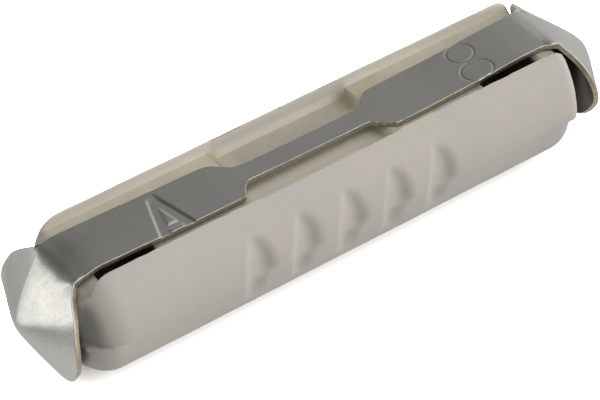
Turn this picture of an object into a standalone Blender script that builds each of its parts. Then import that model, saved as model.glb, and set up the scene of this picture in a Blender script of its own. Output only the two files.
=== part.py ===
"""Torpedo-shaped cartridge fuse for vehicles, 25 mm long and 6 mm across.

Two physical pieces: a moulded insulating body with an open channel along its
top, and one stamped metal strip. The strip lies in the channel, narrows to the
fusible link in the middle, and is folded over both ends of the body, where its
round ends are drawn into the conical contact caps.

Frame: X along the fuse (the right-hand cap is at +X), Z up (the strip side),
origin on the surface the fuse lies on, under the middle of its length.
"""
import math
import bpy
import bmesh
from mathutils import Matrix, Vector

MM = 0.001

# ---------------------------------------------------------------- body, mm
BODY_R = 3.0            # radius of the cylinder
AXIS_Z = 3.0            # height of the axis above the surface it lies on
BODY_X0 = -10.90        # left end face
BODY_X1 = 10.24         # right end face
TAPER_L = 0.85          # length of the chamfer at the left end
TAPER_R = 0.82          # how much radius the left chamfer takes off
ROUND_R = 0.60          # edge rounding at the right end
KNEE = 0.40             # length over which the chamfer is rolled into the cylinder
BODY_STEPS = 240        # facets round the body, fine enough that it rolls to its rest

CHAN_HALF = 2.05        # channel half width at the far wall
CHAN_NEAR = 1.92        # and at the near wall
CHAN_Z = 1.62           # channel floor, above the axis
RECESS_X0 = -3.12       # arc recess under the link
RECESS_X1 = 2.85
RECESS_Z = 1.20
POCKETS = ((-9.60, -7.20), (6.98, 9.38))   # cored pockets in the channel floor
POCKET_HALF = 1.50
POCKET_Z = -0.40
MOUTH = 0.50            # bevel where the strip leaves the channel

GRIP_COUNT = 5          # vertical grip grooves on each side
GRIP_PITCH = 1.97
GRIP_HALF = 0.81        # half width of a groove at the surface
GRIP_DEPTH = 0.31

# --------------------------------------------------------------- strip, mm
SHEET = 0.20            # sheet thickness
TIP_X = 12.5            # half of the overall length, over the blunt tips
BLUNT = 0.12            # how far the sharp point would reach past its flat
BEND = 0.27             # tangent length of the fold at the cap's neck

# x, half width towards -Y, half width towards +Y, top surface above the axis
STATIONS = (
    (-10.53, 1.39, 1.24, 2.010),
    (-10.20, 1.29, 1.235, 2.010),
    (-9.80, 1.235, 1.235, 2.008),
    (-9.00, 1.22, 1.22, 2.004),
    (-7.80, 1.22, 1.22, 1.990),
    (-6.60, 1.22, 1.22, 1.960),
    (-5.40, 1.22, 1.22, 1.920),
    (-4.40, 1.22, 1.22, 1.905),
    (-3.90, 1.22, 1.20, 1.900),
    (-3.65, 1.22, 1.13, 1.895),
    (-3.45, 1.21, 1.00, 1.890),
    (-3.25, 0.95, 0.80, 1.885),
    (-3.05, 0.66, 0.62, 1.880),
    (-2.85, 0.47, 0.50, 1.870),
    (-2.50, 0.45, 0.45, 1.860),
    (-1.20, 0.45, 0.45, 1.840),
    (0.00, 0.45, 0.45, 1.830),
    (1.20, 0.45, 0.45, 1.820),
    (2.20, 0.45, 0.45, 1.825),
    (2.45, 0.50, 0.50, 1.830),
    (2.70, 0.74, 0.68, 1.835),
    (2.95, 1.00, 0.94, 1.840),
    (3.20, 1.19, 1.12, 1.845),
    (3.60, 1.20, 1.17, 1.850),
    (4.80, 1.19, 1.19, 1.870),
    (6.00, 1.18, 1.18, 1.900),
    (7.20, 1.18, 1.18, 1.955),
    (8.40, 1.18, 1.18, 2.030),
    (9.40, 1.185, 1.185, 2.075),
    (10.12, 1.21, 1.21, 2.090),
)

# Cut edge of each cap, for the half towards -Y (near) and the half towards +Y
# (far): angle from +Z in degrees, radius from the axis, and how far the edge
# lies from the middle of the fuse. The caps are a little out of true, as bent.
RIM = {
    (-1, "near"): ((44, 2.55, 10.88), (54, 2.60, 11.07), (64, 2.64, 11.22), (76, 2.68, 11.38),
                   (90, 2.72, 11.50), (120, 2.68, 11.53), (150, 2.63, 11.53), (180, 2.61, 11.55)),
    (-1, "far"): ((40, 2.34, 10.80), (52, 2.47, 11.09), (62, 2.59, 11.32), (72, 2.63, 11.55),
                  (83, 2.67, 11.73), (92, 2.70, 11.80), (120, 2.68, 11.74), (150, 2.64, 11.64),
                  (180, 2.61, 11.55)),
    (1, "near"): ((40, 2.56, 10.44), (49, 2.62, 10.64), (59, 2.67, 10.81), (72, 2.70, 11.00),
                  (83, 2.70, 11.14), (95, 2.64, 11.27), (107, 2.54, 11.37), (123, 2.44, 11.42),
                  (145, 2.41, 11.45), (180, 2.38, 11.45)),
    (1, "far"): ((44, 2.62, 10.55), (50, 2.72, 10.86), (56, 2.79, 11.01), (64, 2.82, 11.12),
                 (74, 2.80, 11.23), (95, 2.72, 11.35), (123, 2.51, 11.44), (145, 2.42, 11.46),
                 (180, 2.38, 11.45)),
}
APEX_Z = {-1: 0.0, 1: 0.20}     # height of each cap's point above the axis

COLUMNS = 6             # faces across the strip
RIM_FACES = 11          # faces along each half of a cap's rim
BEND_ROWS = 3
CONE_ROWS = 5

BODY_COLOR = (0.66, 0.63, 0.55, 1.0)
METAL_COLOR = (0.55, 0.55, 0.54, 1.0)


# ------------------------------------------------------------------ helpers
def clear_scene():
    for obj in list(bpy.data.objects):
        bpy.data.objects.remove(obj, do_unlink=True)


def new_collection(name):
    coll = bpy.data.collections.new(name)
    bpy.context.scene.collection.children.link(coll)
    return coll


def make_material(name, color, metallic, roughness):
    mat = bpy.data.materials.new(name)
    mat.use_nodes = True
    shader = mat.node_tree.nodes["Principled BSDF"]
    shader.inputs["Base Color"].default_value = color
    shader.inputs["Metallic"].default_value = metallic
    shader.inputs["Roughness"].default_value = roughness
    return mat


def add_object(name, mesh, coll):
    obj = bpy.data.objects.new(name, mesh)
    coll.objects.link(obj)
    return obj


def smooth(obj, angle=30.0):
    obj.data.shade_smooth()
    obj.data.set_sharp_from_angle(angle=math.radians(angle))


def box_cutter(name, lo, hi, coll, turn_y=0.0):
    """A block from lo to hi in mm; turn_y turns it about its centre, in degrees."""
    bm = bmesh.new()
    bmesh.ops.create_cube(bm, size=1.0)
    for v in bm.verts:
        v.co = Vector([v.co[i] * (hi[i] - lo[i]) * MM for i in range(3)])
    mesh = bpy.data.meshes.new(name)
    bm.to_mesh(mesh)
    bm.free()
    obj = add_object(name, mesh, coll)
    obj.location = [(lo[i] + hi[i]) / 2 * MM for i in range(3)]
    obj.rotation_euler = (0.0, math.radians(turn_y), 0.0)
    obj.hide_render = True
    obj.display_type = 'WIRE'
    return obj


def groove_cutter(name, x, side, coll):
    """A vertical four-sided prism; its sharp edge cuts one V groove."""
    reach = 1.0
    bm = bmesh.new()
    bmesh.ops.create_cone(bm, cap_ends=True, segments=4, radius1=1.0, radius2=1.0, depth=5.0)
    corner = bm.verts[:][0].co
    turn = -math.atan2(corner.y, corner.x)
    bmesh.ops.rotate(bm, verts=bm.verts[:], cent=(0.0, 0.0, 0.0),
                     matrix=Matrix.Rotation(turn, 3, 'Z'))
    for v in bm.verts:
        v.co = Vector((v.co.x * reach * GRIP_HALF / GRIP_DEPTH, v.co.y * reach, v.co.z)) * MM
    mesh = bpy.data.meshes.new(name)
    bm.to_mesh(mesh)
    bm.free()
    obj = add_object(name, mesh, coll)
    obj.location = (x * MM, side * (BODY_R - GRIP_DEPTH + reach) * MM, AXIS_Z * MM)
    obj.hide_render = True
    obj.display_type = 'WIRE'
    return obj


def cut(obj, cutter):
    mod = obj.modifiers.new(cutter.name, 'BOOLEAN')
    mod.operation = 'DIFFERENCE'
    mod.solver = 'EXACT'
    mod.object = cutter


# --------------------------------------------------------------------- body
def body_profile():
    """Radius and height pairs from the right end face down to the left one."""
    pts = [(0.0, BODY_X1)]
    for i in range(6):
        a = math.pi / 2 * i / 5
        pts.append((BODY_R - ROUND_R + ROUND_R * math.sin(a),
                    BODY_X1 - ROUND_R + ROUND_R * math.cos(a)))
    # left end: the cylinder rolls over into the chamfer, and that into the end face
    knee = BODY_X0 + TAPER_L
    for i in range(5):
        t = i / 4
        pts.append((BODY_R - KNEE * 0.62 * t * t, knee + KNEE * (0.5 - t)))
    pts.append((BODY_R - TAPER_R + 0.07, BODY_X0 + 0.07))
    pts.append((BODY_R - TAPER_R - 0.05, BODY_X0))
    pts.append((0.0, BODY_X0))
    return pts


def build_body(parts, cutters):
    mesh = bpy.data.meshes.new("insulator_body")
    pts = body_profile()
    mesh.from_pydata([(r * MM, 0.0, z * MM) for r, z in pts],
                     [(i, i + 1) for i in range(len(pts) - 1)], [])
    body = add_object("insulator_body", mesh, parts)
    screw = body.modifiers.new("turn", 'SCREW')
    screw.axis = 'Z'
    screw.angle = 2 * math.pi
    screw.steps = BODY_STEPS
    screw.render_steps = BODY_STEPS
    screw.use_merge_vertices = True
    screw.merge_threshold = 1e-6
    screw.use_smooth_shade = True
    # laid along X; a facet faces straight down
    body.rotation_euler = (0.0, math.pi / 2, 0.0)
    body.location = (0.0, 0.0, AXIS_Z * MM)
    turn = math.pi / BODY_STEPS
    body.data.transform(Matrix.Rotation(turn, 4, 'Z'))

    z = AXIS_Z
    cut(body, box_cutter("cut_channel", (BODY_X0 - 1, -CHAN_NEAR, z + CHAN_Z),
                         (BODY_X1 + 1, CHAN_HALF, z + 4), cutters))
    cut(body, box_cutter("cut_recess", (RECESS_X0, -CHAN_NEAR, z + RECESS_Z),
                         (RECESS_X1, CHAN_HALF, z + 2.5), cutters))
    for i, (x0, x1) in enumerate(POCKETS):
        cut(body, box_cutter("cut_pocket_%d" % (i + 1), (x0, -POCKET_HALF, z + POCKET_Z),
                             (x1, POCKET_HALF, z + 2.5), cutters))
    for name, x in (("left", BODY_X0), ("right", BODY_X1)):
        half = MOUTH / math.sqrt(2.0)
        cut(body, box_cutter("cut_mouth_" + name,
                             (x - half, -CHAN_NEAR, z + CHAN_Z - half),
                             (x + half, CHAN_HALF, z + CHAN_Z + half), cutters, 45.0))
    for i in range(GRIP_COUNT):
        x = (i - (GRIP_COUNT - 1) / 2) * GRIP_PITCH
        for side, label in ((-1, "near"), (1, "far")):
            cut(body, groove_cutter("cut_grip_%s_%d" % (label, i + 1), x, side, cutters))
    body.data.materials.append(make_material("moulded_body", BODY_COLOR, 0.0, 0.55))
    smooth(body, 12.0)
    return body


# -------------------------------------------------------------------- strip
def lerp(a, b, t):
    return a + (b - a) * t


def table(rows, x):
    """Straight-line reading of a table whose first column rises."""
    if x <= rows[0][0]:
        return rows[0][1:]
    for a, b in zip(rows, rows[1:]):
        if x <= b[0]:
            t = (x - a[0]) / (b[0] - a[0])
            return tuple(lerp(p, q, t) for p, q in zip(a[1:], b[1:]))
    return rows[-1][1:]


def spokes(side):
    """The cut edge and fold line round one cap, from the fold's middle columns
    on round the rim and back. Each entry is (edge point, bend share)."""
    fold = STATIONS[0] if side < 0 else STATIONS[-1]
    out = abs(fold[0])
    neck = []
    for i in range(COLUMNS + 1):
        y = lerp(-fold[1], fold[2], i / COLUMNS)
        neck.append((Vector((out, y, fold[3])), 1.0))
    halves = {}
    for label, sign, half_width in (("near", -1, fold[1]), ("far", 1, fold[2])):
        corner = math.degrees(math.atan2(half_width, fold[3]))
        rows = ((corner, math.hypot(half_width, fold[3]), out),) + RIM[side, label]
        points = []
        for i in range(1, RIM_FACES + 1):
            t = i / RIM_FACES
            angle = lerp(corner, 180.0, 0.6 * t + 0.4 * t * t)
            r, dist = table(rows, angle)
            turn = math.radians(angle)
            share = max(0.0, 1.0 - (angle - corner) / 30.0)
            points.append((Vector((dist, sign * r * math.sin(turn), r * math.cos(turn))), share))
        halves[label] = points
    # columns run from -Y to +Y, then round the far side, the bottom and the near side
    return neck, halves["far"] + halves["near"][:-1][::-1]


def cap_point(edge, share, side, t):
    """A point of the cap's outer surface; t runs from 0 at the tip to 1 at the edge."""
    apex = Vector((TIP_X + BLUNT, 0.0, APEX_Z[side]))
    corner = edge + Vector((BEND * share, 0.0, 0.0))
    run = (corner - apex).length
    keep = BEND * share / run
    if t <= 1.0 - keep:
        p = apex.lerp(corner, t)
    else:
        q = apex.lerp(corner, 1.0 - keep)
        s = (t - (1.0 - keep)) / keep
        p = q.lerp(corner, s).lerp(corner.lerp(edge, s), s)
    return p


def cone_rows(edge, share, side):
    """The t values down one spoke: the edge of the flat tip, the cone, then the bend."""
    apex = Vector((TIP_X + BLUNT, 0.0, APEX_Z[side]))
    corner = edge + Vector((BEND * share, 0.0, 0.0))
    first = BLUNT / (apex.x - corner.x)
    keep = BEND * max(share, 0.35) / (corner - apex).length
    ts = [lerp(first, 1.0 - keep, (i / CONE_ROWS) ** 1.15) for i in range(CONE_ROWS + 1)]
    ts += [lerp(1.0 - keep, 1.0, i / BEND_ROWS) for i in range(1, BEND_ROWS + 1)]
    return ts


def build_strip(parts):
    bm = bmesh.new()
    z0 = AXIS_Z

    def add(p):
        return bm.verts.new((p[0] * MM, p[1] * MM, (p[2] + z0) * MM))

    # the flat run, one row of points for each station
    rows = []
    for x, wn, wf, z in STATIONS:
        rows.append([add((x, lerp(-wn, wf, i / COLUMNS), z)) for i in range(COLUMNS + 1)])
    for a, b in zip(rows, rows[1:]):
        for i in range(COLUMNS):
            bm.faces.new((a[i], b[i], b[i + 1], a[i + 1]))

    # each end: spokes from the fold line and the rim in to the point of the cone
    for side, fold_row in ((-1, rows[0]), (1, rows[-1])):
        neck, rim = spokes(side)
        ring = neck + rim
        grid = []
        for n, (edge, share) in enumerate(ring):
            ts = cone_rows(edge, share, side)
            line = []
            for k, t in enumerate(ts):
                if k == len(ts) - 1 and n <= COLUMNS:
                    line.append(fold_row[n])
                    continue
                p = cap_point(edge, share, side, t)
                if k == 0:
                    p.x = TIP_X
                line.append(add((side * p.x, p.y, p.z)))
            grid.append(line)
        tip = add((side * TIP_X, 0.0, APEX_Z[side]))
        for n in range(len(grid)):
            a, b = grid[n], grid[(n + 1) % len(grid)]
            faces = [(tip, a[0], b[0])]
            faces += [(a[k], a[k + 1], b[k + 1], b[k]) for k in range(len(a) - 1)]
            for f in faces:
                bm.faces.new(f if side < 0 else f[::-1])
    bmesh.ops.recalc_face_normals(bm, faces=bm.faces[:])
    bm.normal_update()
    if sum(f.normal.z for f in bm.faces if abs(f.calc_center_median().x) < 9 * MM) < 0:
        bmesh.ops.reverse_faces(bm, faces=bm.faces[:])
    mesh = bpy.data.meshes.new("fuse_strip")
    bm.to_mesh(mesh)
    bm.free()
    strip = add_object("fuse_strip", mesh, parts)
    solid = strip.modifiers.new("sheet", 'SOLIDIFY')
    solid.thickness = SHEET * MM
    solid.offset = -1.0
    solid.use_even_offset = True
    solid.thickness_clamp = 0.0
    strip.data.materials.append(make_material("plated_strip", METAL_COLOR, 1.0, 0.3))
    smooth(strip, 35.0)
    return strip


def build():
    clear_scene()
    parts = new_collection("torpedo_fuse")
    cutters = new_collection("torpedo_fuse_cutters")
    build_body(parts, cutters)
    build_strip(parts)
    cutters.hide_render = True
    bpy.context.view_layer.update()


build()
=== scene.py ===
"""Looks of the torpedo cartridge fuse: a moulded body and a stamped, folded strip.

Lengths in the shape code are millimetres, with z counted from the body's axis,
which lies 3 mm above the floor. X runs along the fuse, +Y is its far side.
"""
import math
import bpy
import bmesh
import numpy as np
from mathutils import Matrix, Vector


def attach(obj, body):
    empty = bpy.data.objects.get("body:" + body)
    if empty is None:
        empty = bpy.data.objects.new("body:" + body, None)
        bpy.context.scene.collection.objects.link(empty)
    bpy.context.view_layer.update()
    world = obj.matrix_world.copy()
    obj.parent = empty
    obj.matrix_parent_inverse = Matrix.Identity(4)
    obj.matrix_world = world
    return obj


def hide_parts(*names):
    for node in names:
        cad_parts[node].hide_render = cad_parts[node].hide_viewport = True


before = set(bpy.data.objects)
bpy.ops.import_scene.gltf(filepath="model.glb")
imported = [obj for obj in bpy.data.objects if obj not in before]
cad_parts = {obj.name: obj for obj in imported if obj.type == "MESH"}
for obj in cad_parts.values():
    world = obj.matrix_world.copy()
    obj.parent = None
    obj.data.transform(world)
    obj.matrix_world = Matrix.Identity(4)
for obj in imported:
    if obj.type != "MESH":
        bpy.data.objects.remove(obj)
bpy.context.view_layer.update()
MM = 0.001
AXIS_Z = 3.0
scene = bpy.context.scene


# ------------------------------------------------------------------ small maths
def smin(a, b, k):
    h = np.clip(0.5 + 0.5 * (b - a) / k, 0.0, 1.0)
    return b * (1 - h) + a * h - k * h * (1 - h)


def smax(a, b, k):
    return -smin(-a, -b, k)


def step(a, b, x):
    t = np.clip((x - a) / (b - a), 0.0, 1.0)
    return t * t * (3 - 2 * t)


def curve(rows, x):
    """Smooth monotone reading of a table: first column rises, the others follow it."""
    rows = np.array(rows, float)
    xs = rows[:, 0]
    x = np.clip(np.asarray(x, float), xs[0], xs[-1])
    out = []
    h = np.diff(xs)
    i = np.clip(np.searchsorted(xs, x, side="right") - 1, 0, len(xs) - 2)
    t = (x - xs[i]) / h[i]
    for c in range(1, rows.shape[1]):
        y = rows[:, c]
        d = np.diff(y) / h
        m = np.zeros(len(xs))
        m[0], m[-1] = d[0], d[-1]
        for k in range(1, len(xs) - 1):
            if d[k - 1] * d[k] > 0:
                w1, w2 = 2 * h[k] + h[k - 1], h[k] + 2 * h[k - 1]
                m[k] = (w1 + w2) / (w1 / d[k - 1] + w2 / d[k])
        a = (1 + 2 * t) * (1 - t) ** 2 * y[i] + t * (1 - t) ** 2 * h[i] * m[i]
        b = t * t * (3 - 2 * t) * y[i + 1] + t * t * (t - 1) * h[i] * m[i + 1]
        out.append(a + b)
    return out


def noise(p, scale, seed=0):
    """Smooth lattice noise, about -1 to 1, at points p (N, 3)."""
    q = np.asarray(p, float) * scale + 101.7 + seed * 17.31
    i = np.floor(q).astype(np.int64)
    f = q - i
    f = f * f * (3 - 2 * f)

    def corner(dx, dy, dz):
        n = (i[:, 0] + dx) * 374761393 + (i[:, 1] + dy) * 668265263 + (i[:, 2] + dz) * 1442695041 + seed * 9176
        n = (n ^ (n >> 13)) * 1274126177
        n = (n ^ (n >> 16)) & 0xFFFFFF
        return n / float(0xFFFFFF) * 2 - 1

    v = 0.0
    for dx in (0, 1):
        for dy in (0, 1):
            for dz in (0, 1):
                w = (f[:, 0] if dx else 1 - f[:, 0]) * (f[:, 1] if dy else 1 - f[:, 1]) * (f[:, 2] if dz else 1 - f[:, 2])
                v = v + w * corner(dx, dy, dz)
    return v


def make_mesh(name, co, faces, normals=None):
    """A mesh object from points in mm about the axis."""
    mesh = bpy.data.meshes.new(name)
    pts = np.array(co, float) * MM
    pts[:, 2] += AXIS_Z * MM
    mesh.from_pydata(pts.tolist(), [], faces)
    mesh.update()
    obj = bpy.data.objects.new(name, mesh)
    scene.collection.objects.link(obj)
    mesh.shade_smooth()
    return obj


def point_value(obj, name, values):
    a = obj.data.attributes.new(name, "FLOAT", "POINT")
    a.data.foreach_set("value", np.asarray(values, np.float32))


# ------------------------------------------------------------------ the body
X0, X1 = -10.90, 10.24
CHAN_NEAR, CHAN_FAR, CHAN_Z, RECESS_Z = 1.92, 2.05, 1.62, 1.20
RECESS = (-3.12, 2.85)
POCKETS = ((-9.58, -7.20), (6.98, 9.38))
POCKET_HALF, POCKET_Z = 1.50, -0.40
PARTING = -0.42
GROOVES = [-3.94, -1.97, 0.0, 1.97, 3.94]
# left edge of a grip groove: height, and distance from the groove's middle
GROOVE_EDGE = ((-1.45, -0.82), (-1.0, -0.81), (-0.30, -0.78), (0.2, -0.70), (0.65, -0.54), (1.1, -0.38), (1.45, -0.27))


def end_x(y, z):
    """Right end face: the lower mould half stops a little short, and the face is not quite square."""
    upper = step(PARTING - 0.05, PARTING + 0.05, z)
    return X1 + 0.04 + np.where(y < 0, 0.045, 0.080) * y + 0.20 * step(0.5, 2.3, y) - 0.19 * (1 - upper)


def mouth_rise(x):
    """The channel floor steps up to just under the strip at the right mouth."""
    return 0.20 * step(9.34, 9.50, x)


def body_sdf(p, fine=1.0):
    x, y, z = p[:, 0], p[:, 1], p[:, 2]
    rho = np.sqrt(y * y + z * z)
    upper = step(PARTING - 0.035, PARTING + 0.035, z)
    side = np.abs(y)
    # the two mould halves meet a hair out of line
    radius = 3.0 - 0.018 * (1 - upper)
    d = rho - radius
    steep = -(x + 10.00) * 0.800 + (rho - radius) * 0.600
    slack = -(x + 10.17) * 0.694 + (rho - radius) * 0.720
    soft_half = step(PARTING - 0.03, PARTING + 0.05, z)
    d = smax(d, slack + (steep - slack) * soft_half, 0.34 + 0.26 * soft_half)
    d = smax(d, X0 - x, 0.14)
    k = 0.42 + 0.36 * (1 - upper) + 0.36 * step(0.3, 2.0, y) * upper
    d = smax(d, x - end_x(y, z), k)
    # grip grooves: a steep left wall, a flat bottom and a soft right wall, drawn by the mould halves
    left = curve(GROOVE_EDGE, z)[0]
    skin = np.sqrt(np.maximum(radius * radius - z * z, 0.01))
    right = 0.06 - 0.38 * step(PARTING + 0.25, PARTING - 0.20, z)
    level = 2.660 + 0.045 * np.exp(-((z - PARTING) / 0.12) ** 2)
    for xc in GROOVES:
        u = x - xc
        bottom = smax(skin - 0.74 * (u - left), skin - 0.125 - 0.20 * (u - left), 0.06)
        bottom = smax(bottom, level, 0.10)
        bottom = smax(bottom, level + 0.88 * (u - right), 0.18)
        soft = 0.05 + 0.15 * step(left + 0.25, left + 0.75, u)
        for s in (-1, 1):
            d = smax(d, (s * y - bottom) / 1.15, soft)
    # thin flash left along the parting line, thickest on the left chamfer
    flash = fine * (0.012 + 0.016 * step(-9.9, -10.3, x) + 0.010 * step(9.2, 10.0, x))
    on_skin = step(-0.10, -0.03, rho - radius) + step(-9.7, -9.9, x) + step(9.4, 9.6, x)
    d = d - flash * np.exp(-((z - PARTING) / 0.030) ** 2) * step(1.0, 2.0, side) * np.minimum(on_skin, 1.0)
    # channel, recess, pockets, mouths
    wall = side - (np.where(y < 0, CHAN_NEAR, CHAN_FAR) + 0.025 * (z - CHAN_Z))
    bed = smin(CHAN_Z + mouth_rise(x) * step(1.2, 0.4, y), CHAN_Z + 0.20 - (x - X1 + 0.10), 0.20)
    bed = smin(bed, CHAN_Z + (x - X0 - 0.35), 0.20)
    void = smax(wall, bed - z, 0.10)
    rec = smax(smax(wall, RECESS_Z - z, 0.12), smax(RECESS[0] - x, x - RECESS[1], 0.05), 0.30)
    void = smin(void, rec, 0.12)
    wob = 0.030 * np.sin(x * 5.1 + 1.0) + 0.022 * np.sin(x * 11.3)
    for a, b in POCKETS:
        pk = smax(side - POCKET_HALF - wob * (y < 0), POCKET_Z - z, 0.10)
        pk = smax(pk, smax(a - x, x - b, 0.05), 0.08)
        void = smin(void, pk, 0.08)
    ease = step(-9.6, -10.4, x) + 0.45 * step(8.9, 10.3, x)
    d = smax(d, -void, 0.075 + 0.22 * ease)
    return d


def body_full(p, fine=1.0):
    d = body_sdf(p, fine)
    d = d - 0.006 * noise(p, 1.1, 3) - 0.0030 * noise(p, 3.7, 5)
    # slight chips and burrs along the rims of the channel
    half = np.where(p[:, 1] < 0, CHAN_NEAR, CHAN_FAR)
    rim = np.exp(-((np.abs(p[:, 1]) - half - 0.03) / 0.09) ** 2) * np.exp(-((p[:, 2] - np.sqrt(9 - half * half)) / 0.09) ** 2)
    d = d + rim * 0.012 * np.clip(noise(p, 2.6, 8) + 0.1, 0, 1)
    return d


def gradient(f, p, e=2e-4, fine=1.0):
    g = np.empty_like(p)
    for k in range(3):
        q = p.copy()
        r = p.copy()
        q[:, k] += e
        r[:, k] -= e
        g[:, k] = (f(q, fine) - f(r, fine)) / (2 * e)
    return g


def build_body():
    # rows along the fuse: x, and how deep a row is down a pocket's end wall (0..1)
    rows = []

    def span(a, b, n):
        rows.extend((x, None) for x in np.linspace(a, b, n, endpoint=False))

    ends = [(-10.9, None)] + [(X0 + d, None) for d in (0.015, 0.04, 0.075, 0.12, 0.18, 0.25, 0.30, 0.34, 0.38, 0.42, 0.48, 0.55, 0.62, 0.69, 0.76, 0.83, 0.90, 0.97, 1.05, 1.14)]
    rows += ends

    def wallrows(x, into):
        """rows round a pocket's end wall; into is the direction of the pocket"""
        out = [(x - into * d, 0.0) for d in (0.14, 0.08, 0.045, 0.02)]
        out += [(x + into * d, lv) for d, lv in ((0.001, 0.02), (0.002, 0.06), (0.003, 0.35), (0.004, 0.7), (0.005, 0.96))]
        out += [(x + into * d, 1.0) for d in (0.03, 0.07, 0.13)]
        return sorted(out, key=lambda r: r[0])

    def stepped(x):
        return [(x + d, None) for d in (-0.34, -0.26, -0.19, -0.13, -0.08, -0.03, 0.02, 0.07, 0.12, 0.18, 0.25, 0.33)]

    for (a, b), i in zip(POCKETS, (0, 1)):
        rows += wallrows(a, 1) + wallrows(b, -1)
        rows += [(x, None) for x in np.arange(a + 0.28, b - 0.2, 0.15)]
    rows += stepped(RECESS[0]) + stepped(RECESS[1])
    rows += [(x, None) for x in np.arange(-6.95, -5.05, 0.16)]
    rows += [(x, None) for x in np.arange(5.05, 6.5, 0.16)]
    near_step = lambda x: min(abs(x - RECESS[0]), abs(x - RECESS[1])) < 0.37
    grip = list(np.arange(-5.0, -4.25, 0.10))
    for xc in GROOVES:
        grip += [xc - 0.12 + d for d in (-0.10, -0.04, 0.0, 0.04, 0.09, 0.14, 0.19, 0.24, 0.29, 0.35, 0.42)]
        grip += [xc - 0.12 + d for d in np.arange(0.51, 1.80, 0.09)]
    rows += [(x, None) for x in grip if not near_step(x)]
    r = 0.62
    rows += [(X1 - r + r * math.sin(t), None) for t in np.linspace(0, math.pi / 2, 12)]
    rows += [(9.34, None), (9.38, None), (9.42, None), (9.46, None), (9.50, None), (9.56, None)]
    rows = sorted(rows, key=lambda q: q[0])
    keep = [rows[0]]
    for q in rows[1:]:
        if q[0] - keep[-1][0] > 0.0008:
            keep.append(q)
    rows = keep

    # columns of one half: kind, value
    cols = [("floor", y) for y in (0.0, 0.35, 0.7, 1.0, 1.2, 1.32, 1.40, 1.45)]
    cols += [("pocket", v) for v in (0.96, 0.7, 0.35, 0.06, 0.02)]
    cols += [("floor", y) for y in (1.55, 1.59, 1.66, 1.76, 1.86, 1.93, 1.98, 2.015, 2.035)]
    cols += [("wall", v) for v in (0.04, 0.12, 0.28, 0.50, 0.70, 0.84, 0.93, 0.98)]
    cols += [("arc", v) for v in (0.002, 0.010, 0.022, 0.04, 0.065, 0.10)]
    seam = 0.3565
    cols += [("arc", v) for v in np.concatenate([np.linspace(0.13, seam - 0.03, 13, endpoint=False),
                                                 seam + np.array((-0.03, -0.018, -0.010, -0.004, 0.0, 0.004, 0.010, 0.018, 0.03)),
                                                 np.linspace(seam + 0.045, 0.62, 13, endpoint=False),
                                                 np.linspace(0.62, 1.0, 12)])]
    full = [(1, c) for c in cols] + [(-1, c) for c in cols[1:-1][::-1]]
    n_cols = len(full)

    def depth_at(x, lv):
        if lv is not None:
            return lv
        for a, b in POCKETS:
            if a < x < b:
                return 1.0
        return 0.0

    def base_radius(x):
        if x < -10.07:
            return 3.0 + (x + 10.07) * 0.964
        if x > X1 - 0.62:
            return 3.0 - 0.62 + math.sqrt(max(0.0, 0.62 ** 2 - (x - X1 + 0.62) ** 2))
        return 3.0

    co = []
    for x, lv in rows:
        big = base_radius(x)
        zf = CHAN_Z
        if RECESS[0] < x < RECESS[1]:
            zf = RECESS_Z
        bed = min(zf, CHAN_Z - max(0.0, (X0 + 0.35) - x)) - max(0.0, x - (X1 - 0.10))
        dep = depth_at(x, lv)
        for s, (kind, v) in full:
            # the rise at the right mouth fades out towards the far wall
            zf = bed + float(mouth_rise(x)) * (1.0 if s < 0 else float(step(1.2, 0.4, v if kind == "floor" else 2.0)))
            chan = CHAN_FAR if s > 0 else CHAN_NEAR
            y_end = min(chan, math.sqrt(max(0.01, big * big - zf * zf)))
            z_top = max(zf, math.sqrt(max(0.0, big * big - chan * chan)) if big > chan else zf)
            th0 = math.atan2(y_end, z_top)
            whole = y_end >= chan
            if kind == "floor":
                if not whole:
                    y = v / CHAN_FAR * y_end
                elif v < POCKET_HALF:
                    y = v
                else:
                    y = POCKET_HALF + (v - POCKET_HALF) / (CHAN_FAR - POCKET_HALF) * (chan - POCKET_HALF)
                z = zf
                if v < POCKET_HALF and dep > 0:
                    z = CHAN_Z + dep * (POCKET_Z - CHAN_Z)
            elif kind == "pocket":
                y = POCKET_HALF + 0.02 * (0.5 - v)
                if not whole:
                    y = y / CHAN_FAR * y_end
                z = zf
                if dep > 0:
                    z = CHAN_Z + min(dep, v) * (POCKET_Z - CHAN_Z)
            elif kind == "wall":
                y = y_end
                z = zf + v * (z_top - zf)
            else:
                turn = math.acos(PARTING / 3.0)
                th = th0 + v / seam * (turn - th0) if v < seam else turn + (v - seam) / (1 - seam) * (math.pi - turn)
                y, z = big * math.sin(th), big * math.cos(th)
            lean = 0.0
            if kind == "arc":
                # rows on the outside lean with the grooves' left edges
                lean = float(curve(GROOVE_EDGE, z)[0] - GROOVE_EDGE[-1][1]) * float(step(-7.0, -5.2, x) * step(6.6, 4.9, x))
            co.append((x + lean, s * y, z))
    co = np.array(co)
    # follow the uneven right end
    w = step(9.0, X1, co[:, 0])
    co[:, 0] += w * (end_x(co[:, 1], co[:, 2]) - X1)

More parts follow.
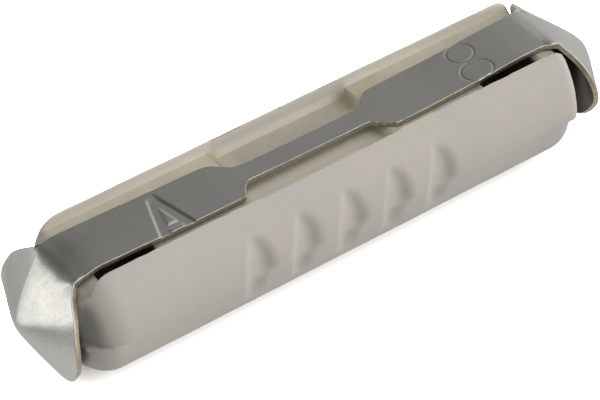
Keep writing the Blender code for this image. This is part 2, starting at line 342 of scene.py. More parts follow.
    n_rows = len(rows)
    faces = []
    for i in range(n_rows - 1):
        for j in range(n_cols):
            k = (j + 1) % n_cols
            a, b = i * n_cols, (i + 1) * n_cols
            faces.append((a + j, a + k, b + k, b + j))
    co = list(map(tuple, co))
    for first, x_end, flip in ((0, X0, False), ((n_rows - 1) * n_cols, None, True)):
        ring = [first + j for j in range(n_cols)]
        base = [co[q] for q in ring]
        for share in (0.985, 0.955, 0.91, 0.84, 0.74, 0.6, 0.42, 0.22):
            new = []
            for (x, y, z) in base:
                new.append(len(co))
                co.append((x, y * share, -0.3 + (z + 0.3) * share))
            for j in range(n_cols):
                k = (j + 1) % n_cols
                f = (ring[j], new[j], new[k], ring[k])
                faces.append(f[::-1] if flip else f)
            ring = new
        mid = len(co)
        co.append((base[0][0], 0.0, -0.3))
        for j in range(n_cols):
            k = (j + 1) % n_cols
            f = (ring[j], mid, ring[k])
            faces.append(f[::-1] if flip else f)
    p = np.array(co, float)
    rest = p.copy()
    for it in range(14):
        fine = 0.0 if it < 9 else 1.0
        d = body_full(p, fine)
        g = gradient(body_full, p, fine=fine)
        n2 = np.maximum((g * g).sum(1), 0.05)
        move = -(d / n2)[:, None] * g
        length = np.linalg.norm(move, axis=1, keepdims=True)
        move *= np.minimum(1.0, 0.08 / np.maximum(length, 1e-9))
        p = p + move
    obj = make_mesh("moulded_body", p, [f[::-1] for f in faces])
    g = gradient(body_full, p, 1.5e-3)
    g /= np.maximum(np.linalg.norm(g, axis=1, keepdims=True), 1e-9)
    # painted shade and light masks
    x, y, z = p[:, 0], p[:, 1], p[:, 2]
    half = np.where(y < 0, CHAN_NEAR, CHAN_FAR)
    inside = step(half + 0.05, half - 0.03, np.abs(y)) * step(2.15, 1.95, z) * (z > -0.6) * step(3.0, 2.7, np.sqrt(y * y + z * z))
    floor_like = step(0.35, 0.85, g[:, 2])
    under = inside * floor_like * step(0.0, -0.3, y) * step(RECESS[0] - 0.1, RECESS[0] + 0.3, x) * step(RECESS[1] + 0.1, RECESS[1] - 0.5, x)
    # painted shade: the channel floor is given a darker brown colour for its shade; the recess floor under the strip
    # gets less of it, to lift that shade
    point_value(obj, "channel", inside * (0.12 + 0.88 * floor_like) - 0.45 * under)
    # painted light: the channel's inner walls, and the recess floor under the strip, get a lighter colour standing in
    # for the wall's glow and lifting the strip's shade
    point_value(obj, "wall", inside * (1 - floor_like) + under * (0.35 + 0.65 * step(-1.0, -0.4, y)))
    # painted shade: the deep of the pockets is coloured near black
    deep = step(1.64, 1.52, z) * (np.abs(y) < 1.56) * (z > -0.6) * ((np.abs(x + 8.4) < 1.3) | (np.abs(x - 8.18) < 1.36))
    point_value(obj, "pocket", deep)
    # painted light: the top of the far side gets a lighter colour for the brighter light it catches
    point_value(obj, "upper", step(1.2, 2.3, z) * (y > 0))
    # painted shade: dark brown spots in the recess corners, a band beside the strip left of the recess, the left
    # channel end and the far floor right of the recess
    corner = np.zeros(len(p))
    for cx in RECESS:
        into = 0.10 if cx < 0 else -0.22
        spot = np.exp(-((x - cx - into) / (0.20 if cx < 0 else 0.34)) ** 2) * step(1.0, 1.5, np.abs(y))
        corner = np.maximum(corner, spot * np.where(y < 0, 0.35 if cx > 0 else 1.55, 1.0))
    corner = np.maximum(corner, 0.30 * step(-9.65, -10.0, x))
    corner = np.maximum(corner, 0.35 * step(-3.0, -3.4, x) * step(-7.2, -6.6, x) * (y < 0))
    corner = np.maximum(corner, 0.42 * np.exp(-((x - 3.5) / 1.1) ** 2) * step(1.0, 1.3, y) * floor_like)
    point_value(obj, "corner", corner * inside * step(1.95, 1.60, z))
    # painted shade: the cap's shadow on the upper left taper, plus the shade under the link on the far recess floor and
    # in the left channel mouth
    painted_shade = step(-10.02, -10.48, x) * step(PARTING - 0.02, PARTING + 0.06, z) * step(1.75, 1.05, z)
    painted_shade = np.maximum(painted_shade, 0.40 * inside * floor_like * step(0.2, 0.6, y) * step(-2.9, -2.2, x) * step(2.8, 2.0, x))
    point_value(obj, "painted_shade", np.maximum(0.80 * painted_shade, 0.65 * step(-9.85, -10.15, x) * step(1.1, 1.5, z) * inside))
    return obj, g


body, body_normals = build_body()


# ------------------------------------------------------------------ the strip
SHEET = 0.20
STATIONS = (
    (-9.45, 1.225, 1.225, 2.030),
    (-9.20, 1.22, 1.22, 2.032),
    (-8.40, 1.22, 1.22, 2.010),
    (-7.50, 1.22, 1.22, 1.985),
    (-6.60, 1.22, 1.22, 1.955),
    (-5.40, 1.22, 1.22, 1.920),
    (-4.40, 1.22, 1.22, 1.905),
    (-3.90, 1.22, 1.20, 1.900),
    (-3.65, 1.22, 1.13, 1.895),
    (-3.46, 1.215, 1.00, 1.890),
    (-3.38, 1.14, 0.93, 1.888),
    (-3.25, 0.96, 0.80, 1.885),
    (-3.05, 0.66, 0.62, 1.880),
    (-2.92, 0.50, 0.53, 1.873),
    (-2.82, 0.455, 0.49, 1.868),
    (-2.50, 0.45, 0.455, 1.860),
    (-1.20, 0.45, 0.45, 1.840),
    (0.00, 0.45, 0.45, 1.830),
    (1.20, 0.45, 0.45, 1.820),
    (2.15, 0.45, 0.45, 1.825),
    (2.40, 0.49, 0.47, 1.830),
    (2.55, 0.60, 0.52, 1.832),
    (2.70, 0.74, 0.68, 1.835),
    (2.95, 1.00, 0.96, 1.840),
    (3.12, 1.14, 1.10, 1.843),
    (3.25, 1.195, 1.16, 1.845),
    (3.60, 1.20, 1.18, 1.850),
    (4.80, 1.19, 1.19, 1.870),
    (6.00, 1.18, 1.18, 1.905),
    (7.20, 1.18, 1.18, 1.965),
    (8.40, 1.18, 1.18, 2.040),
    (9.00, 1.18, 1.18, 2.070),
    (9.60, 1.19, 1.19, 2.080),
    (9.85, 1.20, 1.20, 2.078),
)
RIM = {
    (-1, "near"): ((44, 2.43, 10.80), (54, 2.54, 11.01), (64, 2.65, 11.20), (76, 2.68, 11.38),
                   (90, 2.72, 11.50), (120, 2.68, 11.53), (150, 2.63, 11.53), (180, 2.61, 11.55)),
    (-1, "far"): ((42, 2.34, 10.783), (56, 2.51, 11.05), (65, 2.64, 11.285), (72, 2.63, 11.55),
                  (83, 2.67, 11.73), (92, 2.70, 11.80), (120, 2.68, 11.74), (150, 2.64, 11.64),
                  (180, 2.61, 11.55)),
    (1, "near"): ((42, 2.58, 10.47), (49, 2.63, 10.62), (59, 2.67, 10.83), (72, 2.70, 11.03),
                  (83, 2.70, 11.18), (95, 2.64, 11.31), (107, 2.54, 11.42), (123, 2.44, 11.45),
                  (145, 2.41, 11.45), (180, 2.38, 11.45)),
    (1, "far"): ((44, 2.62, 10.55), (50, 2.72, 10.86), (56, 2.79, 11.01), (64, 2.82, 11.12),
                 (74, 2.80, 11.23), (95, 2.72, 11.35), (123, 2.51, 11.44), (145, 2.42, 11.46),
                 (180, 2.38, 11.45)),
}
APEX = {-1: (12.489, 0.0, 0.0), 1: (12.489, 0.0, 0.13)}
TIP = {-1: 0.42, 1: 0.58}
# fold: distance of the corner from the middle across the strip, and its height
FOLD = {
    -1: ((-1.39, 10.38, 2.005), (-1.20, 10.42, 1.990), (-0.95, 10.46, 1.970), (-0.60, 10.50, 1.950), (0.0, 10.55, 1.940),
         (0.60, 10.58, 1.935), (1.0, 10.58, 1.930), (1.26, 10.58, 1.930)),
    1: ((-1.46, 10.32, 2.150), (-1.22, 10.36, 2.130), (-0.9, 10.45, 2.050), (-0.5, 10.52, 1.990), (0.0, 10.54, 1.985), (0.5, 10.52, 1.995),
        (0.9, 10.47, 2.015), (1.22, 10.40, 2.045)),
}
FOLD_ROUND = {-1: 0.42, 1: 0.60}
# how far the two edges spread on the way from the strip to the fold, near and far
FLARE = {-1: (0.12, 0.02), 1: (0.25, 0.12)}


def segment(px, py, a, b):
    ax, ay = a
    bx, by = b
    vx, vy = bx - ax, by - ay
    t = np.clip(((px - ax) * vx + (py - ay) * vy) / (vx * vx + vy * vy), 0, 1)
    return np.hypot(px - ax - t * vx, py - ay - t * vy)


def polygon(px, py, pts):
    """Signed distance to a closed polygon, negative inside."""
    d = np.full(px.shape, 1e9)
    inside = np.zeros(px.shape, bool)
    n = len(pts)
    for i in range(n):
        a, b = pts[i], pts[(i + 1) % n]
        d = np.minimum(d, segment(px, py, a, b))
        cond = ((a[1] > py) != (b[1] > py))
        with np.errstate(divide="ignore", invalid="ignore"):
            xi = (b[0] - a[0]) * (py - a[1]) / (b[1] - a[1] + 1e-12) + a[0]
        inside ^= cond & (px < xi)
    return np.where(inside, -d, d)


def stamp_depth(x, y):
    """How deep the rating marks are stamped into the strip's face, in mm."""
    outer = polygon(x, y, [(-6.33, 1.02), (-6.03, 0.98), (-5.45, -1.30), (-6.95, -1.30)])
    hole = polygon(x, y, [(-6.20, 0.16), (-6.00, -0.76), (-6.36, -0.76)])
    foot = polygon(x, y, [(-6.44, -1.02), (-5.93, -1.02), (-5.88, -1.5), (-6.50, -1.5)])
    a = np.maximum(outer, -np.minimum(hole, foot))
    depth = 0.042 * step(0.055, -0.085, a)
    # the left leg is struck deeper at its outer edge
    depth = depth * (1 + 0.25 * step(-6.2, -6.8, x)) * step(1.08, 0.55, y)
    up = np.abs(np.hypot((x - 7.21) / 1.02, y - 0.57) - 0.53)
    low = np.abs(np.hypot((x - 7.15) / 1.13, y + 0.66) - 0.57)
    e = np.minimum(up, low)
    depth = depth + 0.020 * step(0.070, 0.0, e)
    return depth


def sheet_face(x, y):
    """Small unevenness of the rolled and stamped face."""
    p = np.stack([x * 0.5, y, np.zeros_like(x)], 1)
    return 0.0035 * noise(p, 0.8, 11) + 0.0012 * noise(p, 3.0, 12)


def cap_ring(side, n_neck, n_rim):
    """Spokes of a cap: end of the cone part, and for the neck the fold row it runs on to."""
    ap = np.array(APEX[side])
    first = STATIONS[0] if side < 0 else STATIONS[-1]
    rows = FOLD[side]
    neck = []
    for y in n_neck:
        y = y + (abs(y) / 1.2) ** 3 * (-FLARE[side][0] if y < 0 else FLARE[side][1])
        dist, z = [float(v) for v in curve(rows, y)]
        neck.append(np.array((dist, y, z)))
    halves = {}
    for label, sign, c in (("near", -1, neck[0]), ("far", 1, neck[-1])):
        corner = math.degrees(math.atan2(abs(c[1]), c[2]))
        table = ((corner, math.hypot(c[1], c[2]), c[0]),) + tuple(q for q in RIM[side, label] if q[0] > corner + 3)
        pts = []
        for i in range(1, n_rim + 1):
            t = i / n_rim
            ang = corner + (180.0 - corner) * (0.45 * t + 0.55 * t * t)
            r, dist = [float(v) for v in curve(table, ang)]
            turn = math.radians(ang)
            pts.append(np.array((dist, sign * r * math.sin(turn), r * math.cos(turn))))
        halves[label] = pts
    ends = np.array(neck + halves["far"] + halves["near"][:-1][::-1])
    rel = ends - ap
    reach = np.hypot(rel[:, 1], rel[:, 2])
    angle = np.degrees(np.arctan2(-rel[:, 1], rel[:, 2]))
    height = np.hypot(reach, TIP[side]) - TIP[side]
    slope = -rel[:, 0] / height
    # even out the cone between neck and rim; the left cap keeps a soft ridge on its far side
    smooth = np.empty(len(slope))
    for n in range(len(slope)):
        gap = (angle - angle[n] + 180) % 360 - 180
        if side < 0:
            wide = 14.0 if angle[n] > -8 else (14.0 + (angle[n] + 8) * 0.22 if angle[n] > -36 else 8.0)
        else:
            wide = 15.0
        wide = max(wide, 3.0)
        step_len = np.abs(np.roll(angle, -1) - np.roll(angle, 1))
        step_len = np.minimum(step_len, 360 - step_len)
        w = np.exp(-0.5 * (gap / wide) ** 2) * step_len
        smooth[n] = (w * slope).sum() / w.sum()
    if side < 0:
        # two flat panels that meet in a ridge on the far side of the left cap
        far = np.radians(-angle)
        front = 0.986 * np.cos(far) - 0.0986 * np.sin(far)
        back = 0.900 * np.cos(far) + 0.0655 * np.sin(far)
        ref = np.argmin(np.abs(angle - 10.0))
        scale = smooth[ref] / front[ref]
        panel = scale * np.maximum(front, back)
        smooth = smooth + (panel - smooth) * step(-12.0, 2.0, -angle) * step(66.0, 36.0, -angle)
    # the rim gives way a little to the evened-out cone
    slope = smooth + 0.42 * (slope - smooth)
    ends[:, 0] = ap[0] - slope * height
    rel[:, 0] = -slope * height
    return neck, ends, reach, slope, smooth, rel


def cone_line(side, share, reach, slope, smooth, rel):
    """Points of one spoke at the given shares of the way from the tip to its end."""
    ap = np.array(APEX[side])
    t = np.asarray(share)
    w = step(0.72, 1.0, t)
    s = smooth + (slope - smooth) * w
    r = np.hypot(t * reach, TIP[side]) - TIP[side]
    return np.stack([ap[0] - s * r, ap[1] + rel[1] * t, ap[2] + rel[2] * t], 1)


def bend(side, y):
    """Radius of the fold: smaller towards its two edges."""
    return FOLD_ROUND[side] * (1 - (0.50 if side < 0 else 0.15) * float(step(0.5, 1.3, abs(y))))


def neck_line(side, body, corner, edge):
    """Carry a neck spoke over the fold to the strip's last row."""
    rnd = bend(side, edge[1])
    down = body[-1]
    d1 = corner - edge
    length = np.linalg.norm(d1)
    d1 /= length
    up = corner - d1 * min(rnd, 0.45 * length)
    pts = []
    for i in range(1, 7):
        q = i / 6
        pts.append((1 - q) ** 2 * down + 2 * q * (1 - q) * corner + q * q * up)
    run = np.linalg.norm(up - edge)
    c1 = up - d1 * run * 0.4
    c2 = edge + np.array((run * 0.45, 0, 0))
    for i in range(1, 7):
        q = i / 6
        pts.append((1 - q) ** 3 * up + 3 * q * (1 - q) ** 2 * c1 + 3 * q * q * (1 - q) * c2 + q ** 3 * edge)
    return np.concatenate([body, np.array(pts)])


def build_strip():
    # across: even spread with narrower steps beside the edges
    inner = np.linspace(-1, 1, 67)
    u = np.sign(inner) * (1 - (1 - np.abs(inner)) ** 1.0)
    rows_x = []
    a = STATIONS[0][0]
    b = STATIONS[-1][0]

    def add(lo, hi, stp):
        rows_x.extend(np.arange(lo, hi, stp))

    add(a, -9.4, 0.09)
    add(-9.4, -7.10, 0.16)
    add(-7.10, -5.32, 0.030)
    add(-5.32, -4.1, 0.12)
    add(-4.1, -2.6, 0.045)
    add(-2.6, 2.1, 0.12)
    add(2.1, 3.7, 0.035)
    add(3.7, 6.45, 0.13)
    add(6.45, 7.95, 0.034)
    add(7.95, 9.2, 0.13)
    add(9.2, b - 0.03, 0.09)
    rows_x.append(b)
    rows_x = np.array(rows_x)
    wn, wf, zt = curve(STATIONS, rows_x)
    # torn, wavy shear edge on the near side of the right shoulder
    tear = step(2.25, 2.55, rows_x) * step(3.75, 3.3, rows_x)
    q = np.stack([rows_x, 0 * rows_x, 0 * rows_x], 1)
    wn = wn + tear * (0.042 * noise(q, 5.5, 21) + 0.030 * noise(q, 12.0, 22))
    wn = wn + 0.006 * noise(q, 2.5, 23)
    wf = wf + 0.006 * noise(q, 2.3, 24)
    n_u = len(u)
    co, faces = [], []
    tag = []
    grid = np.zeros((len(rows_x), n_u), int)
    for i, x in enumerate(rows_x):
        mid, half = (wf[i] - wn[i]) / 2, (wf[i] + wn[i]) / 2
        for j in range(n_u):
            grid[i, j] = len(co)
            co.append((x, mid + half * u[j], zt[i]))
            tag.append(0)
    for i in range(len(rows_x) - 1):
        for j in range(n_u - 1):
            faces.append((grid[i, j], grid[i + 1, j], grid[i + 1, j + 1], grid[i, j + 1]))
    for side, fold in ((-1, grid[0]), (1, grid[-1])):
        ys = [co[k][1] for k in fold]
        neck, ends, reach, slope, smooth, rel = cap_ring(side, ys, 62)
        lines = []
        for n in range(len(ends)):
            # the same spacing on every spoke, so the rows run round the cap without a kink
            mark = 1.0 - bend(side, ys[n] if n < n_u else 1.3) * 0.80 / reach[n]
            share = 0.02 + (mark - 0.02) * np.linspace(0, 1, 18) ** 1.1
            if n >= n_u:
                share = np.concatenate([share, mark + (1 - mark) * np.arange(1, 13) / 12])
            pts = cone_line(side, share, reach[n], slope[n], smooth[n], rel[n])
            if n < n_u:
                e = co[fold[n]]
                pts = neck_line(side, pts, ends[n], np.array((abs(e[0]), e[1], e[2])))
            line = []
            for k, p in enumerate(pts):
                if k == len(pts) - 1 and n < n_u:
                    line.append(int(fold[n]))
                else:
                    line.append(len(co))
                    co.append((side * p[0], p[1], p[2]))
                    tag.append(side)
            lines.append(line)
        tip = len(co)
        ap = APEX[side]
        co.append((side * ap[0], ap[1], ap[2]))
        tag.append(side)
        for n in range(len(lines)):
            p, r = lines[n], lines[(n + 1) % len(lines)]
            fs = [(tip, p[0], r[0])] + [(p[k], p[k + 1], r[k + 1], r[k]) for k in range(len(p) - 1)]
            for f in fs:
                faces.append(f if side < 0 else f[::-1])
    co = np.array(co, float)
    tag = np.array(tag)

    # relax the spokes' directions: pressed metal, softly uneven
    capn = 0.012 * noise(co, 0.8, 31) + 0.0035 * noise(co, 2.2, 32)
    reach = step(10.7, 11.2, np.abs(co[:, 0])) * step(12.45, 12.1, np.abs(co[:, 0]))
    co[:, 0] += np.sign(co[:, 0]) * capn * reach

    # normals of the outer face
    tmp = bpy.data.meshes.new("tmp")
    tmp.from_pydata(co.tolist(), [], faces)
    bm = bmesh.new()
    bm.from_mesh(tmp)
    bmesh.ops.recalc_face_normals(bm, faces=bm.faces[:])
    bm.normal_update()
    mid_up = sum(f.normal.z for f in bm.faces if abs(f.calc_center_median().x) < 9)
    if mid_up < 0:
        bmesh.ops.reverse_faces(bm, faces=bm.faces[:])
        bm.normal_update()
    bm.verts.ensure_lookup_table()
    normals = np.array([v.normal[:] for v in bm.verts])
    faces = [tuple(v.index for v in f.verts) for f in bm.faces]
    # boundary loop, in order
    nxt = {}
    for f in faces:
        m = len(f)
        for i in range(m):
            nxt[(f[i], f[(i + 1) % m])] = True
    border = {}
    for (p, r) in nxt:
        if (r, p) not in nxt:
            border[p] = r
    start = next(iter(border))
    loop = [start]
    while border[loop[-1]] != start:
        loop.append(border[loop[-1]])
    bm.free()
    bpy.data.meshes.remove(tmp)

    top = co.copy()
    flat = (tag == 0)
    wide = step(11.0, 10.4, np.abs(co[:, 0]))
    drop = np.zeros(len(co))
    drop[flat] = stamp_depth(co[flat, 0], co[flat, 1])
    drop[flat] -= sheet_face(co[flat, 0], co[flat, 1])
    top -= normals * drop[:, None]
    # the cap's sheared rim is upset a little thicker
    heavy = 1 + 0.30 * step(-10.3, -10.9, co[:, 0]) * step(2.15, 2.5, np.hypot(co[:, 1], co[:, 2]))
    under = co - normals * (SHEET * heavy)[:, None]
    # stamping throws up a faint ridge underneath
    under[flat] -= normals[flat] * (0.25 * drop[flat])[:, None]

    # edge profile: outward direction at each border vertex
    loop = np.array(loop)
    prev, nex = co[np.roll(loop, 1)], co[np.roll(loop, -1)]
    tangent = nex - prev
    tangent /= np.maximum(np.linalg.norm(tangent, axis=1, keepdims=True), 1e-9)
    nl = normals[loop]
    outward = np.cross(tangent, nl)
    outward /= np.maximum(np.linalg.norm(outward, axis=1, keepdims=True), 1e-9)
    r_top, r_low = 0.024, 0.018
    pts = [top, under]
    n0 = len(co)
    all_co = list(map(tuple, top)) + list(map(tuple, under))
    out_faces = [f for f in faces] + [tuple(i + n0 for i in f[::-1]) for f in faces]
    # pull the border rows in to make room for the rounded shear edge
    arr = np.array(all_co)
    arr[loop] -= outward * r_top
    arr[loop + n0] -= outward * r_low
    all_co = list(map(tuple, arr))
    dl = drop[loop][:, None]
    base = co[loop]
    rough = noise(base, 7.0, 41)[:, None] * 0.006 + noise(base, 19.0, 42)[:, None] * 0.004
    on_tear = (step(2.3, 2.6, base[:, 0]) * step(3.7, 3.4, base[:, 0]) * (base[:, 1] < 0))[:, None]
    on_nick = (np.exp(-((base[:, 0] + 3.42) / 0.10) ** 2) + np.exp(-((base[:, 0] + 2.93) / 0.10) ** 2))[:, None] * (base[:, 1] < 0)[:, None]
    rough = rough * (1 + 4.5 * on_tear + 2.5 * on_nick)
    base = base + (outward * 0.030 + nl * 0.022) * on_nick
    prof = [(-0.62 * r_top, -0.08 * r_top, 0.0), (-0.29 * r_top, -0.29 * r_top, 0.2), (-0.08 * r_top, -0.62 * r_top, 0.6),
            (0.0, -1.05 * r_top, 1.0), (0.004, -0.45 * SHEET, 1.0), (-0.004, -0.62 * SHEET, 1.4), (0.0, -SHEET + r_low, 1.0),
            (-0.35 * r_low, -SHEET + 0.3 * r_low, 0.3)]
    rings = [loop]
    for e, n, k in prof:
        share = np.clip(1 + n / (0.6 * SHEET), 0, 1)
        thick = 1 + (heavy[loop] - 1)[:, None] * np.clip(-n / SHEET, 0, 1)
        pos = base + outward * (e + rough * k) + nl * (n * thick - dl * share)
        idx = np.arange(len(all_co), len(all_co) + len(loop))
        all_co += list(map(tuple, pos))
        rings.append(idx)
    rings.append(loop + n0)
    m = len(loop)
    for p, r in zip(rings, rings[1:]):
        for i in range(m):
            j = (i + 1) % m
            out_faces.append((int(p[j]), int(p[i]), int(r[i]), int(r[j])))
    obj = make_mesh("stamped_strip", all_co, out_faces)
    cut = np.zeros(len(all_co))
    for ringi, strength in zip(rings[3:-1], (0.25, 0.7, 1, 1, 1, 0.8)):
        cut[ringi] = strength
    point_value(obj, "cut_edge", cut)
    where = np.array(all_co)
    point_value(obj, "cap_edge", step(10.2, 10.8, np.abs(where[:, 0])))
    smudge = np.exp(-((where[:, 0] + 9.95) / 0.50) ** 2) * np.exp(-((where[:, 1] - 0.1) / 1.5) ** 2)
    smudge = smudge * (0.65 + 0.35 * noise(where, 2.4, 51)) + 0.25 * np.clip(noise(where, 0.55, 52), 0, 1)
    point_value(obj, "smudge", np.clip(smudge, 0, 1))
    # painted shade: the underside of the strip and the inside of the caps are coloured dark for the shade they sit in
    painted_inner_shade = np.zeros(len(all_co))
    painted_inner_shade[n0:2 * n0] = 0.45 + 0.5 * step(10.2, 11.0, np.abs(co[:, 0]))
    point_value(obj, "painted_inner_shade", painted_inner_shade)
    # painted shade: darker lines along the A's right leg and the 8 stand in for their shaded stamped walls
    marks = np.zeros(len(all_co))
    face = np.where(flat)[0]
    e8 = np.minimum(np.abs(np.hypot((co[face, 0] - 7.21) / 1.02, co[face, 1] - 0.57) - 0.53),
                    np.abs(np.hypot((co[face, 0] - 7.15) / 1.13, co[face, 1] + 0.66) - 0.57))
    leg = segment(co[face, 0], co[face, 1], (-5.985, 0.95), (-5.46, -1.24))
    marks[face] = np.maximum(step(0.075, 0.01, e8), 1.25 * step(0.11, 0.02, leg))
    point_value(obj, "mark", marks)
    return obj


strip = build_strip()


# ------------------------------------------------------------------ materials
def material(name):
    mat = bpy.data.materials.new(name)
    mat.use_nodes = True
    nt = mat.node_tree
    return mat, nt, nt.nodes["Principled BSDF"]


class Nodes:
    def __init__(self, nt):
        self.nt = nt

    def new(self, kind, **props):
        n = self.nt.nodes.new(kind)
        for k, v in props.items():
            setattr(n, k, v)
        return n

    def link(self, a, b):
        self.nt.links.new(a, b)

    def coords(self, scale):
        tc = self.new("ShaderNodeTexCoord")
        mp = self.new("ShaderNodeMapping")
        mp.inputs["Scale"].default_value = tuple(1000.0 * s for s in scale)
        self.link(tc.outputs["Object"], mp.inputs["Vector"])
        return mp.outputs[0]

    def noise(self, vec, scale, detail=3.0, rough=0.55):
        n = self.new("ShaderNodeTexNoise")
        n.inputs["Scale"].default_value = scale
        n.inputs["Detail"].default_value = detail
        n.inputs["Roughness"].default_value = rough
        self.link(vec, n.inputs["Vector"])
        return n.outputs[0]

    def remap(self, v, a, b, lo, hi):
        n = self.new("ShaderNodeMapRange")
        n.interpolation_type = 'SMOOTHSTEP'
        n.inputs["From Min"].default_value = a
        n.inputs["From Max"].default_value = b
        n.inputs["To Min"].default_value = lo
        n.inputs["To Max"].default_value = hi
        self.link(v, n.inputs["Value"])
        return n.outputs[0]

    def math(self, op, a, b=None):
        n = self.new("ShaderNodeMath", operation=op)
        for i, v in enumerate((a, b)):
            if v is None:
                continue
            if isinstance(v, (int, float)):
                n.inputs[i].default_value = v
            else:
                self.link(v, n.inputs[i])
        return n.outputs[0]

    def mix(self, fac, a, b, blend='MIX'):
        n = self.new("ShaderNodeMix", data_type='RGBA', blend_type=blend)
        socks = [s for s in n.inputs if s.type == 'RGBA']
        if isinstance(fac, (int, float)):
            n.inputs[0].default_value = fac
        else:
            self.link(fac, n.inputs[0])
        for s, v in zip(socks, (a, b)):
            if isinstance(v, tuple):
                s.default_value = v + (1.0,) if len(v) == 3 else v
            else:
                self.link(v, s)
        return [o for o in n.outputs if o.type == 'RGBA'][0]

    def attr(self, name):
        n = self.new("ShaderNodeAttribute", attribute_name=name)
        return n.outputs["Fac"]

    def bump(self, h, strength, distance, normal=None):
        n = self.new("ShaderNodeBump")
        n.inputs["Strength"].default_value = strength
        n.inputs["Distance"].default_value = distance
        self.link(h, n.inputs["Height"])
        if normal is not None:
            self.link(normal, n.inputs["Normal"])
        return n.outputs[0]


def body_material():
    mat, nt, bsdf = material("ivory_moulding")
    g = Nodes(nt)
    v = g.coords((1, 1, 1))
    large = g.noise(v, 0.35, 2.0)
    medium = g.noise(v, 1.6, 3.0)
    speck = g.noise(v, 14.0, 2.0, 0.6)
    warm, cool = (0.530, 0.496, 0.441), (0.490, 0.481, 0.455)
    col = g.mix(g.remap(large, 0.35, 0.65, 0.0, 1.0), warm, cool)
    col = g.mix(g.remap(medium, 0.42, 0.72, 0.0, 0.35), col, (0.543, 0.511, 0.461))
    col = g.mix(g.remap(speck, 0.60, 0.74, 0.0, 0.25), col, (0.50, 0.47, 0.41))
    # painted shade colour for the channel floor
    channel_shade = g.mix(g.remap(g.noise(v, 1.1, 3.0), 0.3, 0.7, 0.25, 0.75), (0.62, 0.58, 0.465), (0.49, 0.445, 0.32))
    # painted light: a lighter top on the far side
    col = g.mix(g.math('MULTIPLY', g.attr("upper"), 0.7), col, (0.80, 0.765, 0.675))
    # painted light: lighter inner walls and a lifted recess floor under the strip
    col = g.mix(g.math('MULTIPLY', g.attr("wall"), 0.92), col, (0.93, 0.89, 0.80))
    # painted shade: the channel floor is mixed towards a darker brown for its shade
    col = g.mix(g.math('MULTIPLY', g.attr("channel"), 0.75), col, channel_shade)
    # painted shade: dark brown spots in the recess corners and beside the strip
    col = g.mix(g.math('MULTIPLY', g.attr("corner"), 0.62), col, (0.30, 0.235, 0.13))
    # painted shade: dark grey beside the left cap and under the link
    col = g.mix(g.math('MULTIPLY', g.attr("painted_shade"), 0.85), col, (0.255, 0.258, 0.262))
    # painted shade: near black deep in the pockets
    col = g.mix(g.math('MULTIPLY', g.attr("pocket"), 0.9), col, (0.060, 0.040, 0.028))
    g.link(col, bsdf.inputs["Base Color"])
    rough = g.remap(medium, 0.3, 0.75, 0.46, 0.62)
    g.link(rough, bsdf.inputs["Roughness"])
    bsdf.inputs["Specular IOR Level"].default_value = 0.42
    bsdf.inputs["Subsurface Weight"].default_value = 0.12
    bsdf.inputs["Subsurface Radius"].default_value = (1.0, 0.75, 0.5)
    bsdf.inputs["Subsurface Scale"].default_value = 0.0004
    fine = g.noise(v, 22.0, 3.0, 0.65)
    n1 = g.bump(fine, 0.35, 0.000012)
    n2 = g.bump(g.noise(v, 4.5, 2.0), 0.35, 0.00002, n1)
    g.link(n2, bsdf.inputs["Normal"])
    return mat


def metal_material():
    mat, nt, bsdf = material("satin_plated_strip")
    g = Nodes(nt)
    v = g.coords((1, 1, 1))
    grain = g.coords((0.18, 1.0, 1.0))
    large = g.noise(v, 0.45, 3.0)
    streak = g.noise(grain, 9.0, 4.0, 0.6)
    fine = g.noise(v, 26.0, 3.0, 0.7)
    col = g.mix(g.remap(large, 0.35, 0.7, 0.0, 1.0), (0.600, 0.597, 0.568), (0.545, 0.548, 0.530))
    col = g.mix(g.remap(streak, 0.40, 0.68, 0.0, 0.35), col, (0.47, 0.47, 0.45))
    col = g.mix(g.remap(fine, 0.58, 0.76, 0.0, 0.30), col, (0.40, 0.40, 0.37))
    tarnish = g.remap(g.noise(v, 1.3, 4.0, 0.6), 0.56, 0.78, 0.0, 0.35)
    col = g.mix(tarnish, col, (0.46, 0.43, 0.36))
    col = g.mix(g.math('MULTIPLY', g.attr("smudge"), 0.55), col, (0.27, 0.275, 0.265))
    # painted shade: darker stamped lines of the A's right leg and the 8
    col = g.mix(g.math('MULTIPLY', g.attr("mark"), 0.55), col, (0.24, 0.24, 0.225))
    edge = g.mix(g.remap(g.noise(v, 6.0, 3.0), 0.35, 0.65, 0.0, 1.0), (0.50, 0.45, 0.36), (0.39, 0.36, 0.30))
    gold = g.mix(g.remap(g.noise(v, 5.0, 3.0), 0.35, 0.65, 0.0, 1.0), (0.66, 0.54, 0.34), (0.52, 0.41, 0.27))
    edge = g.mix(g.attr("cap_edge"), edge, gold)
    col = g.mix(g.math('MULTIPLY', g.attr("cut_edge"), 0.85), col, edge)
    # painted shade: near black underside and cap interiors
    col = g.mix(g.attr("painted_inner_shade"), col, (0.028, 0.027, 0.026))
    g.link(col, bsdf.inputs["Base Color"])
    bsdf.inputs["Metallic"].default_value = 1.0
    r = g.remap(large, 0.3, 0.7, 0.20, 0.28)
    r = g.math('ADD', r, g.remap(streak, 0.4, 0.7, 0.0, 0.05))
    r = g.math('ADD', r, g.math('MULTIPLY', g.attr("cut_edge"), 0.16))
    g.link(r, bsdf.inputs["Roughness"])
    n1 = g.bump(streak, 0.30, 0.000006)
    n2 = g.bump(fine, 0.30, 0.000007, n1)
    n3 = g.bump(g.noise(v, 5.0, 2.0), 0.25, 0.000010, n2)
    g.link(n3, bsdf.inputs["Normal"])
    return mat


body.data.materials.append(body_material())
strip.data.materials.append(metal_material())
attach(body, "root")
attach(strip, "root")
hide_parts("insulator_body")
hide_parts("fuse_strip")


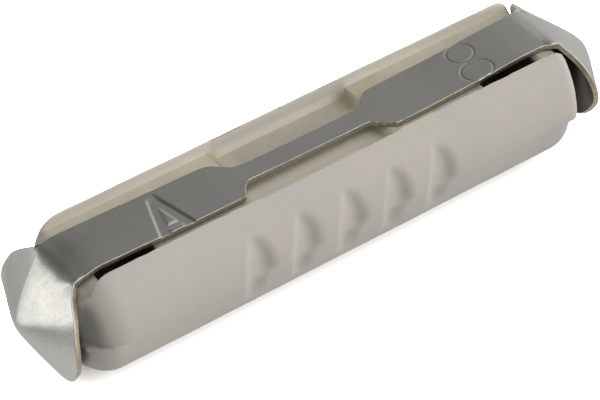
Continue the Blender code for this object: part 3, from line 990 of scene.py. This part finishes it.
# ------------------------------------------------------------------ floor
def build_floor():
    bm = bmesh.new()
    bmesh.ops.create_grid(bm, x_segments=2, y_segments=2, size=1.2)
    mesh = bpy.data.meshes.new("studio_floor")
    bm.to_mesh(mesh)
    bm.free()
    obj = bpy.data.objects.new("studio_floor", mesh)
    scene.collection.objects.link(obj)
    obj.location.z = -0.00002
    mat, nt, bsdf = material("pale_floor")
    bsdf.inputs["Base Color"].default_value = (0.93, 0.93, 0.93, 1)
    bsdf.inputs["Roughness"].default_value = 0.9
    bsdf.inputs["Specular IOR Level"].default_value = 0.1
    mesh.materials.append(mat)
    # the tent's lower half lights the part from underneath, so the floor only catches the shadow
    obj.visible_diffuse = False
    obj.visible_glossy = False
    obj.visible_transmission = False
    obj.visible_shadow = False
    only_floor = bpy.data.collections.new("lit_floor")
    only_floor.objects.link(obj)
    lamp = bpy.data.lights.new("floor_light", "AREA")
    lamp.shape = 'DISK'
    lamp.size = 1.60
    lamp.energy = FLOOR_LIGHT
    top = bpy.data.objects.new("floor_light", lamp)
    top.location = (0.03, -0.04, 0.30)
    top.rotation_euler = Vector((0.03, -0.04, 0.30)).to_track_quat('Z', 'Y').to_euler()
    top.visible_camera = False
    top.light_linking.receiver_collection = only_floor
    scene.collection.objects.link(top)
    return obj


FLOOR_LIGHT = 20.0
build_floor()


# ------------------------------------------------------------------ light
def build_world():
    """A light tent: bright at the right and in front and low at the left, dimmer overhead and at the back."""
    world = bpy.data.worlds.new("light_tent")
    scene.world = world
    world.use_nodes = True
    nt = world.node_tree
    nt.nodes.clear()
    g = Nodes(nt)
    tc = g.new("ShaderNodeTexCoord")
    direction = tc.outputs["Generated"]

    def lobe(az, el, inner, outer, strength):
        """Soft round patch of light: az from +Y towards +X, el up, radii in degrees."""
        a, e = math.radians(az), math.radians(el)
        axis = (math.sin(a) * math.cos(e), math.cos(a) * math.cos(e), math.sin(e))
        dot = g.new("ShaderNodeVectorMath", operation='DOT_PRODUCT')
        g.link(direction, dot.inputs[0])
        dot.inputs[1].default_value = axis
        return g.remap(dot.outputs["Value"], math.cos(math.radians(outer)), math.cos(math.radians(inner)), 0.0, strength)

    total = None
    for spec in LOBES:
        v = lobe(*spec)
        total = v if total is None else g.math('ADD', total, v)
    total = g.math('ADD', total, AMBIENT)
    total = g.math('MAXIMUM', total, 0.0)
    bg = g.new("ShaderNodeBackground")
    bg.inputs[0].default_value = (1.0, 0.99, 0.97, 1)
    g.link(total, bg.inputs[1])
    plain = g.new("ShaderNodeBackground")
    plain.inputs[0].default_value = (0.95, 0.95, 0.95, 1)
    plain.inputs[1].default_value = 1.0
    path = g.new("ShaderNodeLightPath")
    mix = g.new("ShaderNodeMixShader")
    g.link(path.outputs["Is Camera Ray"], mix.inputs[0])
    g.link(bg.outputs[0], mix.inputs[1])
    g.link(plain.outputs[0], mix.inputs[2])
    out = g.new("ShaderNodeOutputWorld")
    g.link(mix.outputs[0], out.inputs[0])


AMBIENT = 0.50
LOBES = (
    # az, el, inner, outer, strength
    (122, 28, 15, 75, 0.95),     # soft key at the right and in front
    (58, 6, 12, 50, 0.15),       # low at the back right
    (-59, 19, 13, 27, 1.14),     # low bright panel at the back left
    (178, -25, 20, 60, 0.12),    # floor in front
    (172, 42, 20, 60, 0.31),     # high in front
    (-70, -45, 15, 55, 0.22),    # lit floor at the left
    (-125, 3, 18, 60, -0.46),    # dimmer at the front left
    (25, 58, 28, 58, -0.23),     # dim overhead and high at the back
    (-30, 44, 9, 30, -0.12),     # darkest high at the back left
)
build_world()


# ------------------------------------------------------------------ camera
def build_camera():
    k = 1.01
    a, e, ro = math.radians(-26.4664), math.radians(41.227), math.radians(-8.3133)
    dist, ax, ay, focal = 81.3874, -0.5886, -0.6784, 2207.8634
    back = Vector((math.sin(a) * math.cos(e), -math.cos(a) * math.cos(e), math.sin(e)))
    right = Vector((math.cos(a), math.sin(a), 0.0))
    up = back.cross(right)
    r2 = right * math.cos(ro) + up * math.sin(ro)
    u2 = up * math.cos(ro) - right * math.sin(ro)
    pos = (back * dist + right * ax + up * ay) * k * MM + Vector((0, 0, AXIS_Z * MM))
    cam = bpy.data.cameras.new("photo_view")
    obj = bpy.data.objects.new("photo_view", cam)
    scene.collection.objects.link(obj)
    obj.matrix_world = Matrix([[r2[i], u2[i], back[i], pos[i]] for i in range(3)] + [[0, 0, 0, 1]])
    cam.sensor_width = 36.0
    cam.lens = focal * 36.0 / 600.0
    cam.clip_start = 0.001
    cam.clip_end = 20.0
    scene.camera = obj


build_camera()
scene.view_settings.view_transform = 'Standard'
scene.view_settings.look = 'None'
scene.view_settings.exposure = 0.0
